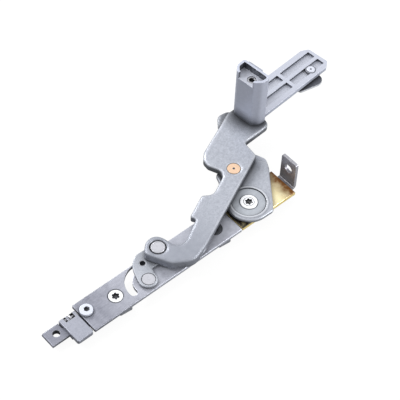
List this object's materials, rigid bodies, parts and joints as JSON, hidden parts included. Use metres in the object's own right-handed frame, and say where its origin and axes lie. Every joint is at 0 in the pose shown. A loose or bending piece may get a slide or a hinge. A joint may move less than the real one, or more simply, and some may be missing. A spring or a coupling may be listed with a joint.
{
  "type": "window hinge",
  "caption": "Concealed tilt-and-turn window hinge: sash rail with corner connector, control link, main arm, support arm and a turning leaf with bearing block.",
  "frame": {"origin": "centre of the sash rail's underside, which seats on the window sash", "axes": "+X along the rail from the corner connector to the angle bracket, +Y to the side that the arm folds out to, +Z away from the seat"},
  "size_m": [0.2913, 0.0889, 0.0621],
  "materials": {
    "rail": "satin zinc-plated steel",
    "casting": "satin coated zinc casting",
    "arm_casting": "satin coated zinc casting",
    "leaf_casting": "satin coated zinc casting",
    "dark_casting": "dull zinc casting",
    "passivated": "pale yellow passivated steel",
    "dark_steel": "dark phosphated steel",
    "disc_steel": "satin steel",
    "pin_steel": "bright zinc-plated steel",
    "bright_zinc": "bright zinc plating",
    "copper": "copper-coloured plating"
  },
  "bodies": {
    "rail_side": {"sash_rail": "rail", "support_plate": "passivated", "angle_bracket": "dark_steel", "end_block": "casting", "clamp_screws": "bright_zinc", "groove_nuts": "casting", "pivot_nut": "bright_zinc", "pivot_bush": "pin_steel", "pivot_disc": "disc_steel", "pivot_screw": "bright_zinc", "link_rivet": "pin_steel"},
    "tongue": {"connecting_tongue": "rail"},
    "spindle": {"adjusting_spindle": "pin_steel"},
    "button": {"eccentric_button": "bright_zinc"},
    "link": {"control_link": "casting", "guide_stud": "pin_steel", "arm_pin": "pin_steel", "arm_spacer": "dark_steel"},
    "arm": {"main_arm": "arm_casting", "arm_rivet": "copper", "hinge_pin": "pin_steel"},
    "support": {"support_arm": "arm_casting"},
    "leaf": {"hinge_leaf": "leaf_casting", "leaf_rivet": "bright_zinc"},
    "height_adjuster": {"height_screw": "dark_steel"},
    "clamp": {"leaf_clamp": "dark_casting"}
  },
  "joints": [
    {"name": "link_swing", "type": "hinge", "parent": "rail_side", "child": "link", "pos_m": [-0.0125, -0.0046, 0], "axis": [0, 0, 1], "range_deg": [0, 110]},
    {"name": "arm_fold", "type": "hinge", "parent": "link", "child": "arm", "pos_m": [0.00485, 0.00696, 0], "axis": [0, 0, 1], "range_deg": [-121, 0]},
    {"name": "support_swing", "type": "hinge", "parent": "rail_side", "child": "support", "pos_m": [0.0784, 0, 0], "axis": [0, 0, 1], "range_deg": [0, 80]},
    {"name": "leaf_turn", "type": "hinge", "parent": "arm", "child": "leaf", "pos_m": [0.1254, 0.0526, 0], "axis": [0, 0, 1], "range_deg": [-5, 170]},
    {"name": "clamp_turn", "type": "hinge", "parent": "leaf", "child": "clamp", "pos_m": [0.18796, 0.05564, 0], "axis": [0, 0, 1], "range_deg": [-15, 25]},
    {"name": "height_screw_turn", "type": "hinge", "parent": "leaf", "child": "height_adjuster", "pos_m": [0.1254, 0.0526, 0], "axis": [0, 0, 1], "continuous": true},
    {"name": "button_turn", "type": "hinge", "parent": "rail_side", "child": "button", "pos_m": [-0.0574, 0.003, 0], "axis": [0, 0, 1], "continuous": true},
    {"name": "spindle_turn", "type": "hinge", "parent": "rail_side", "child": "spindle", "pos_m": [-0.065, 0.0062, 0.0005], "axis": [1, 0, 0], "range_deg": [-361, 1081]},
    {"name": "tongue_slide", "type": "slide", "parent": "rail_side", "child": "tongue", "axis": [-1, 0, 0], "range_m": [-0.0005, 0.0015]}
  ],
  "couplings": [
    {"joint": "arm_fold", "follows": "link_swing", "ratio": -1.095},
    {"joint": "support_swing", "follows": "link_swing", "ratio": 0.72},
    {"joint": "spindle_turn", "follows": "tongue_slide", "rad_per_m": 12566}
  ]
}
